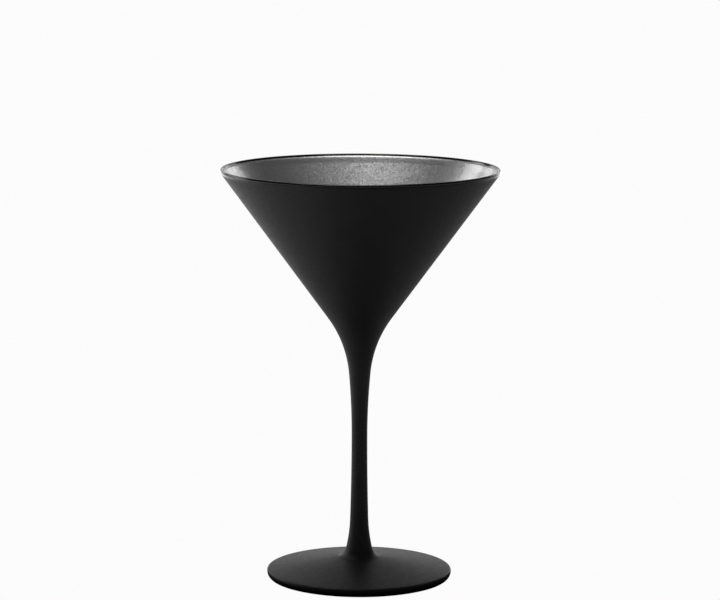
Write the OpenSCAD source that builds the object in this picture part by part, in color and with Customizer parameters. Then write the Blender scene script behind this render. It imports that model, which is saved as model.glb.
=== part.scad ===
// Stemmed cocktail glass with a conical bowl.
// Bowl, stem and foot are three pieces of clear glass, fused to each other at two flat seams.
// A matt black lacquer coats the outside and wraps over the lip.
// A metallic silver lacquer lines the bowl below that wrap.
// Millimetres, +Z up, origin at the centre of the ring that the foot rests on.

/* [Overall] */
// Height from the table to the top of the lip
total_h = 172; // [168:0.5:176]
// Diameter of the lip, over the lacquer
rim_d = 116; // [113:0.5:119]
// Diameter of the foot, over the lacquer
foot_d = 77; // [72:0.5:82]

/* [Bowl] */
// Angle between the bowl's outside wall and the axis
cone_angle = 36.2; // [35.5:0.1:37]
// Thickness of the glass at the lip
wall_t = 1.3; // [1:0.05:2]
// How much flatter the inside wall lies than the outside one, which thickens the glass downwards
wall_taper = 0.5; // [0:0.1:1]
// Radius of the rounded bottom inside the bowl
well_r = 8; // [6:0.5:10]
// Radius of the curve that leads the stem out into the cone
funnel_r = 46.5; // [43:0.5:50]

/* [Stem] */
// Diameter at the waist, the narrowest place, over the lacquer
waist_d = 6.55; // [6:0.05:7.5]
// Height of the waist above the table
waist_h = 60; // [54:1:64]
// Radius of the long curve from the waist up to the funnel
neck_r = 290; // [240:5:340]
// Radius of the long curve from the waist down to the flare
shaft_r = 1150; // [900:10:1600]
// Height at which the stem starts to flare into the foot
flare_h = 25; // [22:0.5:30]
// Radius of the flare
flare_r = 65; // [52:1:78]

/* [Foot] */
// Slope of the foot's upper face, in degrees
foot_slope = 9.5; // [8:0.1:11]
// Radius of the fillet between the flare and the foot's upper face
fillet_r = 5.5; // [4:0.25:7]
// Radius of the corner between the upper face and the edge
corner_r = 0.8; // [0.5:0.05:1.2]
// Height of the upright band round the edge, between that corner and the round below
edge_h = 0.4; // [0.1:0.05:0.6]
// Radius of the edge where it curves under the foot
edge_r = 2.7; // [2:0.1:3.2]
// Width of the flat ring that the foot rests on
ring_w = 2; // [1:0.1:4]
// Depth of the hollow under the foot
hollow_h = 1.5; // [0.5:0.1:2]

/* [Lacquer] */
// Thickness of both lacquers
film_t = 0.15; // [0.12:0.01:0.25]
// Length of the black lacquer inside the lip, measured down the wall
lip_wrap = 0.6; // [0.4:0.1:3]
// Angle below the horizontal at which the black lacquer ends under the foot's edge
edge_wrap = 55; // [20:1:60]

/* [Hidden] */

$fn = 144;
chord_tol = 0.01;
max_step = 12;

waist_r = waist_d / 2;
foot_r = foot_d / 2;
lip_r = wall_t / 2 + film_t;
inner_angle = cone_angle + wall_taper;
foot_angle = 90 - foot_slope;

// Directions square to the straight walls, in the [radius, height] plane of the outline
outer_normal = [cos(cone_angle), -sin(cone_angle)];
inner_normal = [-cos(inner_angle), sin(inner_angle)];
foot_normal = [sin(foot_slope), cos(foot_slope)];

// Lip: a full round whose two sides run on into the two walls
lip_c = [rim_d / 2 - lip_r, total_h - lip_r];
lip_out = lip_c + lip_r * outer_normal;
lip_in = lip_c + lip_r * inner_normal;
wrap_end = lip_in - lip_wrap * [sin(inner_angle), cos(inner_angle)];

// Well: a sphere on the axis that the inside wall touches
well_c = [0, lip_in[1] - lip_in[0] / tan(inner_angle) + well_r / sin(inner_angle)];

// Foot edge: a large round below, an upright band and a small corner above
edge_c = [foot_r - edge_r, edge_r - film_t];
corner_c = [foot_r - corner_r, edge_c[1] + edge_h];

// Height of the underside's sphere, which leaves the resting ring outside it
hollow_rim = edge_c[0] - ring_w;
hollow_r = (hollow_rim * hollow_rim + hollow_h * hollow_h) / (2 * hollow_h);
hollow_c = [0, hollow_h - hollow_r];
hollow_angle = asin(hollow_rim / hollow_r);

// Above the waist: neck and funnel, ending on the bowl's outside wall
neck_c = [waist_r + neck_r, waist_h];
neck_angle = handover(neck_c, neck_r, funnel_r, 1, cone_angle, lip_out);
funnel_c = neck_c + (neck_r - funnel_r) * [-cos(neck_angle), sin(neck_angle)];

// Below the waist: shaft, flare and fillet, ending on the foot's upper face
shaft_c = [waist_r + shaft_r, waist_h];
shaft_angle = asin((waist_h - flare_h) / shaft_r);
flare_c = shaft_c - (shaft_r - flare_r) * [cos(shaft_angle), sin(shaft_angle)];
face_end = corner_c + corner_r * foot_normal;
flare_angle = handover(flare_c, flare_r, fillet_r, -1, foot_angle, face_end);
fillet_c = flare_c - (flare_r - fillet_r) * [cos(flare_angle), sin(flare_angle)];

// Angle from the vertical at which a curve about centre c hands over from radius r1 to r2,
// so that it runs on into the straight line through p at that angle from the vertical.
// dir is 1 for a curve that climbs and -1 for one that falls.
function handover(c, r1, r2, dir, angle, p) =
    angle - acos(((p - c) * [-cos(angle), dir * sin(angle)] - r2) / (r1 - r2));

function step(r) = min(max_step, 2 * acos(1 - chord_tol / r));
function arc(c, r, a0, a1) =
    let (n = ceil(abs(a1 - a0) / step(r)))
    [for (i = [0:n]) let (a = a0 + (a1 - a0) * i / n) c + r * [cos(a), sin(a)]];
function tail(v) = [for (i = [1:len(v) - 1]) v[i]];
function backwards(v) = [for (i = [len(v) - 1:-1:0]) v[i]];
function first(v) = v[0];
function last(v) = v[len(v) - 1];

// Stretches of the outline, each at a depth below the lacquered surface.
// All run in the same direction: from under the foot, up the outside, over the lip and down inside.
function edge_curve(depth, start) = concat(
    arc(edge_c, edge_r - depth, -start, 0),
    arc(corner_c, corner_r - depth, 0, foot_angle));
function fillet_curve(depth) = arc(fillet_c, fillet_r + depth, 180 + foot_angle, 180 + flare_angle);
function stem_curve(depth) = concat(
    arc(flare_c, flare_r + depth, 180 + flare_angle, 180 + shaft_angle),
    tail(arc(shaft_c, shaft_r + depth, 180 + shaft_angle, 180)),
    tail(arc(neck_c, neck_r + depth, 180, 180 - neck_angle)));
function funnel_curve(depth) = arc(funnel_c, funnel_r + depth, 180 - neck_angle, 180 - cone_angle);
function lip_curve(depth) = concat(
    arc(lip_c, lip_r - depth, -cone_angle, 0),
    tail(arc(lip_c, lip_r - depth, 0, 90)),
    tail(arc(lip_c, lip_r - depth, 90, 180 - inner_angle)));
function well_curve(depth) = arc(well_c, well_r + depth, -inner_angle, -90);

// The whole lacquered outside, from the edge of the foot to the end of the wrap inside the lip
function coat_curve(depth) = concat(
    edge_curve(depth, edge_wrap),
    fillet_curve(depth),
    tail(stem_curve(depth)),
    tail(funnel_curve(depth)),
    lip_curve(depth),
    [wrap_end - depth * inner_normal]);
// The silver inside, from the end of the wrap to the bottom of the bowl
function lining_curve(depth) = concat([wrap_end - depth * inner_normal], well_curve(depth));

module turned(outline) {
    rotate_extrude()
        polygon(outline);
}

module bowl() {
    wall = concat(funnel_curve(film_t), lip_curve(film_t), well_curve(film_t));
    color([0.85, 0.92, 0.92, 0.5])
        turned(concat([[0, first(wall)[1]]], wall));
}

module stem() {
    side = stem_curve(film_t);
    color([0.85, 0.92, 0.92, 0.5])
        turned(concat([[0, first(side)[1]]], side, [[0, last(side)[1]]]));
}

module foot() {
    hollow = arc(hollow_c, hollow_r, 90, 90 - hollow_angle);
    side = concat(edge_curve(film_t, 90), fillet_curve(film_t));
    color([0.85, 0.92, 0.92, 0.5])
        turned(concat(hollow, side, [[0, last(side)[1]]]));
}

module outer_lacquer() {
    color([0.06, 0.06, 0.065])
        turned(concat(coat_curve(0), backwards(coat_curve(film_t))));
}

module silver_lining() {
    color("silver")
        turned(concat(lining_curve(0), backwards(lining_curve(film_t))));
}

bowl();
stem();
foot();
outer_lacquer();
silver_lining();
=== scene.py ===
"""The looks of the stemmed cocktail glass: matt black lacquer outside, silver flake lacquer inside.

Every piece is turned from an outline of (radius, height) points in metres, built from the same arcs and
straight walls as the CAD model, with far more steps. Heights and radii that the frame gives are read
from it. The rest are the design's own values, named below.
"""

import math

import bmesh
import bpy
from mathutils import Euler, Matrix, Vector


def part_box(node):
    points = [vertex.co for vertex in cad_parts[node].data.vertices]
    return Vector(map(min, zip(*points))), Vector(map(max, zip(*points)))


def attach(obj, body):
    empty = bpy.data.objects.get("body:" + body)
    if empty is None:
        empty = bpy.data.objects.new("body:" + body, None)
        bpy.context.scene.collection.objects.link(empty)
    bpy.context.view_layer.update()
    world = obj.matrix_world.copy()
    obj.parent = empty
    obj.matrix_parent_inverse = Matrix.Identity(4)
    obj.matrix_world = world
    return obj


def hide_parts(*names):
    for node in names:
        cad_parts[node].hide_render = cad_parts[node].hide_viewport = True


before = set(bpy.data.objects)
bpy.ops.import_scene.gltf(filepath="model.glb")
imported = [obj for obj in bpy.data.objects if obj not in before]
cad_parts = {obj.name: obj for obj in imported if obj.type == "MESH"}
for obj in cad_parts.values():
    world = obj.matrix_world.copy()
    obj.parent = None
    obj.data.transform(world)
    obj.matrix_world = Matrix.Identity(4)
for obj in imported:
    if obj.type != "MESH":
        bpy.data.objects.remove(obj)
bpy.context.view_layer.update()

# ---------------------------------------------------------------- design values, in metres and radians

MM = 0.001
FILM = 0.15 * MM                       # thickness of both lacquers
WALL = 1.3 * MM                        # glass at the lip
CONE_ANGLE = math.radians(36.2)        # outside wall, from the axis
WALL_TAPER = math.radians(0.5)         # the inside wall lies this much flatter
WELL_R = 8 * MM                        # rounded bottom inside the bowl
FUNNEL_R = 46.5 * MM                   # stem into cone
NECK_R = 290 * MM                      # waist up to funnel
SHAFT_R = 1150 * MM                    # waist down to flare
FLARE_R = 65 * MM                      # flare above the foot
FLARE_H = 25 * MM                      # height at which the flare starts
WAIST_R = 3.275 * MM
WAIST_H = 60 * MM
FOOT_SLOPE = math.radians(9.5)
FILLET_R = 5.5 * MM
CORNER_R = 0.8 * MM
EDGE_H = 0.4 * MM
EDGE_R = 2.7 * MM
RING_W = 2 * MM
HOLLOW_H = 1.5 * MM
LIP_WRAP = 0.6 * MM                    # black lacquer inside the lip
EDGE_WRAP = math.radians(55)           # where the black lacquer ends under the foot's edge

# Looks only
EMBED = 0.01 * MM                      # how far a lacquer's hidden side is sunk into the glass
BEAD_H = 0.15 * MM                     # fat edge along the top of the silver lacquer
BEAD_RISE = 0.75 * MM                  # where it swells, next to the black
BEAD_FALL = 3.2 * MM                   # where it runs out down the wall
LIP_FADE_START = 1.4 * MM              # depths below the top between which the lip's smoother finish and its painted shade fade into the matt lacquer
LIP_FADE_END = 2.2 * MM                # fades into the matt one
# Colour over the lip: painted shade, darker than the lacquer's own black, that draws a dark line along the
# rim
LIP_PAINTED_SHADE = 0.002
LIP_ROUGHNESS = 0.14
FLAKE = 0.38 * MM                      # size of a flake in the silver lacquer
FLAKE_TILT = 0.12                      # how far each flake tips the surface's direction
SEGMENTS = 256                         # round the axis, on the lacquers
GLASS_SEGMENTS = 144
CHORD_TOL = 0.003 * MM
MAX_STEP = math.radians(7.5)
WALL_STEP = 2.5 * MM                   # steps along the straight walls

# ---------------------------------------------------------------- outline


def unit(angle):
    return Vector((math.cos(angle), math.sin(angle)))


def arc(centre, radius, start, end):
    """Points of an arc, both ends included, finely enough for CHORD_TOL."""
    step = min(MAX_STEP, 2 * math.acos(1 - CHORD_TOL / radius))
    count = max(2, math.ceil(abs(end - start) / step))
    return [centre + radius * unit(start + (end - start) * i / count) for i in range(count + 1)]


def line(a, b):
    """Points strictly between a and b, about WALL_STEP apart."""
    count = max(1, round((b - a).length / WALL_STEP))
    return [a.lerp(b, i / count) for i in range(1, count)]


def joined(*stretches):
    """One outline from several stretches, without the repeated point where two meet."""
    out = []
    for stretch in stretches:
        for p in stretch:
            if not out or (p - out[-1]).length > 1e-7:
                out.append(p)
    return out


def handover(centre, r1, r2, climb, angle, p):
    """Angle at which a curve about centre goes over from radius r1 to r2, so that it runs on into the
    straight line through p. climb is 1 on the way up and -1 on the way down."""
    square = Vector((-math.cos(angle), climb * math.sin(angle)))
    return angle - math.acos(((p - centre).dot(square) - r2) / (r1 - r2))


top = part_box("outer_lacquer")[1]
rim_r, total_h = top.x, top.z
foot_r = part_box("foot")[1].x + FILM
lip_r = WALL / 2 + FILM
inner_angle = CONE_ANGLE + WALL_TAPER
foot_angle = math.pi / 2 - FOOT_SLOPE

lip_c = Vector((rim_r - lip_r, total_h - lip_r))
lip_out = lip_c + lip_r * Vector((math.cos(CONE_ANGLE), -math.sin(CONE_ANGLE)))
inner_normal = Vector((-math.cos(inner_angle), math.sin(inner_angle)))
inner_down = -Vector((math.sin(inner_angle), math.cos(inner_angle)))
lip_in = lip_c + lip_r * inner_normal
wrap_end = lip_in + LIP_WRAP * inner_down
well_c = Vector((0, lip_in.y - lip_in.x / math.tan(inner_angle) + WELL_R / math.sin(inner_angle)))

edge_c = Vector((foot_r - EDGE_R, EDGE_R - FILM))
corner_c = Vector((foot_r - CORNER_R, edge_c.y + EDGE_H))
hollow_rim = edge_c.x - RING_W
hollow_r = (hollow_rim ** 2 + HOLLOW_H ** 2) / (2 * HOLLOW_H)
hollow_c = Vector((0, HOLLOW_H - hollow_r))

neck_c = Vector((WAIST_R + NECK_R, WAIST_H))
neck_angle = handover(neck_c, NECK_R, FUNNEL_R, 1, CONE_ANGLE, lip_out)
funnel_c = neck_c + (NECK_R - FUNNEL_R) * Vector((-math.cos(neck_angle), math.sin(neck_angle)))
shaft_c = Vector((WAIST_R + SHAFT_R, WAIST_H))
shaft_angle = math.asin((WAIST_H - FLARE_H) / SHAFT_R)
flare_c = shaft_c - (SHAFT_R - FLARE_R) * unit(shaft_angle)
face_end = corner_c + CORNER_R * unit(foot_angle)
flare_angle = handover(flare_c, FLARE_R, FILLET_R, -1, foot_angle, face_end)
fillet_c = flare_c - (FLARE_R - FILLET_R) * unit(flare_angle)


def edge_curve(depth, start):
    return joined(
        arc(edge_c, EDGE_R - depth, -start, 0),
        arc(corner_c, CORNER_R - depth, 0, foot_angle))


def fillet_curve(depth):
    return arc(fillet_c, FILLET_R + depth, math.pi + foot_angle, math.pi + flare_angle)


def stem_curve(depth):
    return joined(
        arc(flare_c, FLARE_R + depth, math.pi + flare_angle, math.pi + shaft_angle),
        arc(shaft_c, SHAFT_R + depth, math.pi + shaft_angle, math.pi),
        arc(neck_c, NECK_R + depth, math.pi, math.pi - neck_angle))


def funnel_curve(depth):
    return arc(funnel_c, FUNNEL_R + depth, math.pi - neck_angle, math.pi - CONE_ANGLE)


def lip_curve(depth):
    return joined(
        arc(lip_c, lip_r - depth, -CONE_ANGLE, 0),
        arc(lip_c, lip_r - depth, 0, math.pi / 2),
        arc(lip_c, lip_r - depth, math.pi / 2, math.pi - inner_angle))


def well_curve(depth):
    return arc(well_c, WELL_R + depth, -inner_angle, -math.pi / 2)


def coat_curve(depth):
    """The lacquered outside, from under the foot's edge to the end of the wrap inside the lip."""
    edge, fillet = edge_curve(depth, EDGE_WRAP), fillet_curve(depth)
    funnel, lip = funnel_curve(depth), lip_curve(depth)
    return joined(
        edge, line(edge[-1], fillet[0]), fillet, stem_curve(depth), funnel,
        line(funnel[-1], lip[0]), lip, [wrap_end - depth * inner_normal])


def bead_curve():
    """The fat edge at the top of the silver lacquer: it swells quickly and runs out slowly down the wall."""
    count = 12
    smooth = [0.5 - 0.5 * math.cos(math.pi * i / count) for i in range(count + 1)]
    rise = [wrap_end + inner_down * BEAD_RISE * i / count + inner_normal * BEAD_H * smooth[i]
            for i in range(count + 1)]
    fall = [rise[-1] + inner_down * BEAD_FALL * i / count - inner_normal * BEAD_H * smooth[i]
            for i in range(count + 1)]
    return joined(rise, fall)


def lining_curve(depth, bead):
    """The silver inside, from the end of the wrap to the bottom of the well."""
    start = bead_curve() if bead else [wrap_end - depth * inner_normal]
    well = well_curve(depth)
    return joined(start, line(start[-1], well[0]), well)


# ---------------------------------------------------------------- meshes

SHARP = math.radians(35)


def turned(name, outline, segments):
    """A closed mesh turned from a closed outline. Points on the axis become single vertices. Rings
    where the outline turns sharply are marked sharp, and every face is smooth."""
    mesh = bpy.data.meshes.new(name)
    bm = bmesh.new()
    rings = []
    for p in outline:
        if p.x < 1e-7:
            rings.append([bm.verts.new((0, 0, p.y))])
            continue
        turns = (2 * math.pi * k / segments for k in range(segments))
        rings.append([bm.verts.new((p.x * math.cos(t), p.x * math.sin(t), p.y)) for t in turns])
    count = len(outline)
    for i in range(count):
        a, b = rings[i], rings[(i + 1) % count]
        if len(a) == 1 and len(b) == 1:
            continue
        for k in range(segments):
            n = (k + 1) % segments
            corners = (a[k % len(a)], a[n % len(a)], b[n % len(b)], b[k % len(b)])
            bm.faces.new(list(dict.fromkeys(corners)))
    bmesh.ops.recalc_face_normals(bm, faces=bm.faces)
    for i, ring in enumerate(rings):
        before = outline[i] - outline[i - 1]
        after = outline[(i + 1) % count] - outline[i]
        if len(ring) == 1 or before.angle(after) < SHARP:
            continue
        for k in range(segments):
            bm.edges.get((ring[k], ring[(k + 1) % segments])).smooth = False
    for face in bm.faces:
        face.smooth = True
    bm.to_mesh(mesh)
    bm.free()
    piece = bpy.data.objects.new(name, mesh)
    bpy.context.scene.collection.objects.link(piece)
    return piece


def placed(piece, node, material):
    piece.data.materials.append(material)
    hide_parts(node)
    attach(piece, "root")


# ---------------------------------------------------------------- materials


class Graph:
    """A node material, with short calls for the few kinds of node used here."""

    def __init__(self, name):
        self.material = bpy.data.materials.new(name)
        self.material.use_nodes = True
        self.nodes = self.material.node_tree.nodes
        self.links = self.material.node_tree.links
        self.shader = self.nodes["Principled BSDF"]
        self.place = self.add("ShaderNodeTexCoord").outputs["Object"]

    def add(self, kind, **values):
        node = self.nodes.new(kind)
        for key, value in values.items():
            setattr(node, key, value)
        return node

    def link(self, a, b):
        self.links.new(a, b)

    def noise(self, size, detail=2.0, roughness=0.5):
        """Noise whose lumps are about size metres across."""
        node = self.add("ShaderNodeTexNoise")
        self.link(self.place, node.inputs["Vector"])
        node.inputs["Scale"].default_value = 1 / size
        node.inputs["Detail"].default_value = detail
        node.inputs["Roughness"].default_value = roughness
        return node.outputs["Fac"]

    def ranged(self, source, low, high, source_low=0.3, source_high=0.7):
        node = self.add("ShaderNodeMapRange")
        node.inputs["From Min"].default_value = source_low
        node.inputs["From Max"].default_value = source_high
        node.inputs["To Min"].default_value = low
        node.inputs["To Max"].default_value = high
        self.link(source, node.inputs["Value"])
        return node.outputs["Result"]

    def mixed(self, factor, a, b):
        """A colour between a and b."""
        node = self.add("ShaderNodeMix", data_type="RGBA")
        self.link(factor, node.inputs["Factor"])
        node.inputs["A"].default_value = (*a, 1)
        node.inputs["B"].default_value = (*b, 1)
        return node.outputs["Result"]

    def bump(self, source, height, strength=1.0, normal=None):
        node = self.add("ShaderNodeBump")
        node.inputs["Distance"].default_value = height
        node.inputs["Strength"].default_value = strength
        self.link(source, node.inputs["Height"])
        if normal is not None:
            self.link(normal, node.inputs["Normal"])
        return node.outputs["Normal"]

    def height(self):
        node = self.add("ShaderNodeSeparateXYZ")
        self.link(self.place, node.inputs["Vector"])
        return node.outputs["Z"]

    def set(self, **values):
        for key, value in values.items():
            self.shader.inputs[key.replace("_", " ")].default_value = value

    def drive(self, source, socket):
        self.link(source, self.shader.inputs[socket])


def black_lacquer():
    """Matt sprayed lacquer: a fine even grain over a faint orange peel, smoother where it flowed out over
    the lip.
    Over the lip its colour is also painted darker, as painted shade along the rim."""
    g = Graph("black_lacquer")
    g.set(Metallic=0.0, IOR=1.5, Specular_IOR_Level=0.45)
    tone = g.noise(9 * MM, 3)
    sprayed = g.mixed(g.ranged(tone, 0, 1), (0.0095, 0.0095, 0.01), (0.0125, 0.0125, 0.013))
    on_lip = g.ranged(g.height(), 0, 1, total_h - LIP_FADE_END, total_h - LIP_FADE_START)
    # over the lip the colour is darkened into painted shade; only the smoother roughness there is the
    # lacquer's own
    colour = g.add("ShaderNodeMix", data_type="RGBA")
    g.link(on_lip, colour.inputs["Factor"])
    g.link(sprayed, colour.inputs["A"])
    colour.inputs["B"].default_value = (LIP_PAINTED_SHADE, LIP_PAINTED_SHADE, LIP_PAINTED_SHADE, 1)
    g.drive(colour.outputs["Result"], "Base Color")
    matt = g.ranged(g.noise(2.2 * MM, 4), 0.46, 0.54)
    rough = g.add("ShaderNodeMix", data_type="FLOAT")
    g.link(on_lip, rough.inputs["Factor"])
    g.link(matt, rough.inputs["A"])
    rough.inputs["B"].default_value = LIP_ROUGHNESS
    g.drive(rough.outputs["Result"], "Roughness")
    peel = g.bump(g.noise(4 * MM, 1), 0.02 * MM)
    g.drive(g.bump(g.noise(0.35 * MM, 2, 0.6), 0.01 * MM, 1.0, peel), "Normal")
    return g.material


def silver_lacquer():
    """Metallic lacquer: flakes that each lie at their own small angle under a clear, glossy surface."""
    g = Graph("silver_lacquer")
    g.set(Metallic=1.0, Roughness=0.4, Coat_Weight=0.8, Coat_Roughness=0.12, Coat_IOR=1.5)
    flakes = g.add("ShaderNodeTexVoronoi", feature="F1")
    flakes.inputs["Scale"].default_value = 1 / FLAKE
    g.link(g.place, flakes.inputs["Vector"])
    off = g.add("ShaderNodeVectorMath", operation="SUBTRACT")
    g.link(flakes.outputs["Color"], off.inputs[0])
    off.inputs[1].default_value = (0.5, 0.5, 0.5)
    tilt = g.add("ShaderNodeVectorMath", operation="SCALE")
    g.link(off.outputs["Vector"], tilt.inputs[0])
    tilt.inputs["Scale"].default_value = FLAKE_TILT
    surface = g.add("ShaderNodeNewGeometry")
    lean = g.add("ShaderNodeVectorMath", operation="ADD")
    g.link(surface.outputs["Normal"], lean.inputs[0])
    g.link(tilt.outputs["Vector"], lean.inputs[1])
    normal = g.add("ShaderNodeVectorMath", operation="NORMALIZE")
    g.link(lean.outputs["Vector"], normal.inputs[0])
    g.drive(normal.outputs["Vector"], "Normal")
    cell = g.add("ShaderNodeSeparateColor")
    g.link(flakes.outputs["Color"], cell.inputs["Color"])
    shade = g.ranged(cell.outputs["Red"], 0, 1, 0, 1)
    g.drive(g.mixed(shade, (0.5, 0.5, 0.5), (0.64, 0.64, 0.64)), "Base Color")
    return g.material


def clear_glass():
    """Soda-lime glass with the faintest waviness of a fire-polished surface."""
    g = Graph("clear_glass")
    g.set(Transmission_Weight=1.0, IOR=1.52, Base_Color=(0.96, 0.985, 0.98, 1))
    g.drive(g.ranged(g.noise(6 * MM, 2), 0.0, 0.03), "Roughness")
    g.drive(g.bump(g.noise(12 * MM, 1), 0.02 * MM), "Normal")
    return g.material


# ---------------------------------------------------------------- the glass


def build_glass():
    black, silver, clear = black_lacquer(), silver_lacquer(), clear_glass()

    coat = coat_curve(0) + coat_curve(FILM + EMBED)[::-1]
    placed(turned("outer_lacquer_coat", coat, SEGMENTS), "outer_lacquer", black)

    lining = lining_curve(0, True) + lining_curve(FILM + EMBED, False)[::-1]
    placed(turned("silver_lining_coat", lining, SEGMENTS), "silver_lining", silver)

    funnel, lip, well = funnel_curve(FILM), lip_curve(FILM), well_curve(FILM)
    wall = joined(funnel, line(funnel[-1], lip[0]), lip, line(lip[-1], well[0]), well)
    bowl = [Vector((0, wall[0].y))] + wall
    placed(turned("bowl_glass", bowl, GLASS_SEGMENTS), "bowl", clear)

    side = stem_curve(FILM)
    stem = [Vector((0, side[0].y))] + side + [Vector((0, side[-1].y))]
    placed(turned("stem_glass", stem, GLASS_SEGMENTS), "stem", clear)

    hollow = arc(hollow_c, hollow_r, math.pi / 2, math.pi / 2 - math.asin(hollow_rim / hollow_r))
    edge, fillet = edge_curve(FILM, math.pi / 2), fillet_curve(FILM)
    foot = joined(hollow, edge, line(edge[-1], fillet[0]), fillet, [Vector((0, fillet[-1].y))])
    placed(turned("foot_glass", foot, GLASS_SEGMENTS), "foot", clear)


# ---------------------------------------------------------------- stage, lights and camera

CAMERA_DISTANCE, CAMERA_HEIGHT = 1.2825, 0.3181
CAMERA_LENS, CAMERA_SENSOR = 156.75, 36         # millimetres
CAMERA_DOWN, CAMERA_ROLL = 0.15534, 0.0037      # radians

FLOOR_SINK = 0.05 * MM                 # keeps the floor from sharing a plane with the resting ring
FLOOR_REACH = 6.0
WHITE = 0.97                           # what the camera sees of the floor and the room
STUDIO_DIM = 0.07                      # what the glass sees of the room between the lights

# Softboxes round the glass: azimuth from behind it towards the right, elevation, distance, width,
# height and radiance. Angles are in degrees and sizes in metres.
SOFTBOXES = {
    "back_low": (0, 3, 1.4, 1.1, 0.22, 1.37),
    "back_up": (0, 18, 1.4, 0.7, 0.5, 0.57),
    "back_left": (-24, 10, 1.4, 0.42, 0.5, 1.3),
    "back_right": (23, 9, 1.4, 0.42, 0.5, 1.4),
    "left_softbox": (-46, 27, 1.2, 0.4, 0.4, 2.3),
    "right_softbox": (31, 20, 1.2, 0.2, 0.25, 1.5),
    "left_strip": (-68, 8, 1.2, 0.4, 0.4, 2.1),
    "overhead": (-30, 82, 1.2, 0.75, 0.7, 3.1),
}
# Brightness of the floor as the glass sees it: the sum of these ramps, each one between two distances
# with the brightness at either end. ACROSS is measured from the middle towards the back left, and
# AWAY from the middle outwards.
ACROSS, AWAY = "DOT_PRODUCT", "LENGTH"
FLOOR_RAMPS = [
    (ACROSS, -0.08, 0.04, 0.13, 0.34),
    (ACROSS, 0.15, 0.5, 0, 0.7),
    (AWAY, 0.45, 0.8, 0, 0.8),
]
SHADE = 0.045, 0.085                   # distances between which the shade round the foot ends


def two_faced(nodes, links, kind, seen, reflected):
    """A shader that is plain and pale to the camera and lights the glass by another strength."""
    path, mix = nodes.new("ShaderNodeLightPath"), nodes.new("ShaderNodeMixShader")
    pale, glow = nodes.new(kind), nodes.new(kind)
    pale.inputs["Color"].default_value = (seen, seen, seen, 1)
    glow.inputs["Color"].default_value = (1, 1, 1, 1)
    if isinstance(reflected, float):
        glow.inputs["Strength"].default_value = reflected
    else:
        links.new(reflected, glow.inputs["Strength"])
    links.new(path.outputs["Is Camera Ray"], mix.inputs["Fac"])
    links.new(glow.outputs[0], mix.inputs[1])
    links.new(pale.outputs[0], mix.inputs[2])
    return mix.outputs["Shader"]


def ramp(nodes, links, source, start, end, low, high):
    node = nodes.new("ShaderNodeMapRange")
    node.inputs["From Min"].default_value = start
    node.inputs["From Max"].default_value = end
    node.inputs["To Min"].default_value = low
    node.inputs["To Max"].default_value = high
    links.new(source, node.inputs["Value"])
    return node.outputs["Result"]


def combined(nodes, links, operation, a, b):
    node = nodes.new("ShaderNodeMath")
    node.operation = operation
    links.new(a, node.inputs[0])
    links.new(b, node.inputs[1])
    return node.outputs["Value"]


def floor_material():
    material = bpy.data.materials.new("pale_floor")
    material.use_nodes = True
    nodes, links = material.node_tree.nodes, material.node_tree.links
    nodes.clear()
    place = nodes.new("ShaderNodeTexCoord").outputs["Object"]
    measures = {}
    for operation in (ACROSS, AWAY):
        node = nodes.new("ShaderNodeVectorMath")
        node.operation = operation
        links.new(place, node.inputs[0])
        measures[operation] = node
    measures[ACROSS].inputs[1].default_value = (-math.sqrt(0.5), math.sqrt(0.5), 0)
    levels = [ramp(nodes, links, measures[kind].outputs["Value"], *ends) for kind, *ends in FLOOR_RAMPS]
    glow = levels[0]
    for level in levels[1:]:
        glow = combined(nodes, links, "ADD", glow, level)
    shade = ramp(nodes, links, measures[AWAY].outputs["Value"], *SHADE, 0, 1)
    glow = combined(nodes, links, "MULTIPLY", glow, shade)
    surface = two_faced(nodes, links, "ShaderNodeEmission", WHITE, glow)
    links.new(surface, nodes.new("ShaderNodeOutputMaterial").inputs["Surface"])
    return material


def build_stage():
    r, z = FLOOR_REACH, -FLOOR_SINK
    mesh = bpy.data.meshes.new("floor")
    mesh.from_pydata([(-r, -r, z), (r, -r, z), (r, r, z), (-r, r, z)], [], [(0, 1, 2, 3)])
    mesh.materials.append(floor_material())
    floor = bpy.data.objects.new("floor", mesh)
    bpy.context.scene.collection.objects.link(floor)
    world = bpy.data.worlds.new("studio")
    bpy.context.scene.world = world
    world.use_nodes = True
    nodes, links = world.node_tree.nodes, world.node_tree.links
    surface = two_faced(nodes, links, "ShaderNodeBackground", WHITE, STUDIO_DIM)
    links.new(surface, nodes["World Output"].inputs["Surface"])
    bpy.context.scene.view_settings.view_transform = "Standard"


def softbox(name, azimuth, elevation, distance, width, height, radiance):
    """A rectangular area light that faces the middle of the glass."""
    data = bpy.data.lights.new(name, "AREA")
    data.shape = "RECTANGLE"
    data.size, data.size_y = width, height
    data.energy = radiance * math.pi * width * height
    lamp = bpy.data.objects.new(name, data)
    bpy.context.scene.collection.objects.link(lamp)
    turn, climb = math.radians(azimuth), math.radians(elevation)
    flat = distance * math.cos(climb)
    away = Vector((flat * math.sin(turn), flat * math.cos(turn), distance * math.sin(climb)))
    lamp.location = away + Vector((0, 0, total_h / 2))
    lamp.rotation_euler = (-away).to_track_quat("-Z", "Y").to_euler()
    lamp.visible_camera = False
    return lamp


def build_lights():
    for name, values in SOFTBOXES.items():
        softbox(name, *values)


def build_camera():
    """A long lens, in front and a little above the rim, with a slight roll."""
    data = bpy.data.cameras.new("camera")
    data.lens, data.sensor_width = CAMERA_LENS, CAMERA_SENSOR
    camera = bpy.data.objects.new("camera", data)
    bpy.context.scene.collection.objects.link(camera)
    camera.location = (0, -CAMERA_DISTANCE, CAMERA_HEIGHT)
    camera.rotation_mode = "QUATERNION"
    level = Euler((math.pi / 2 - CAMERA_DOWN, 0, 0)).to_quaternion()
    camera.rotation_quaternion = level @ Euler((0, 0, CAMERA_ROLL)).to_quaternion()
    bpy.context.scene.camera = camera


build_glass()
build_stage()
build_lights()
build_camera()
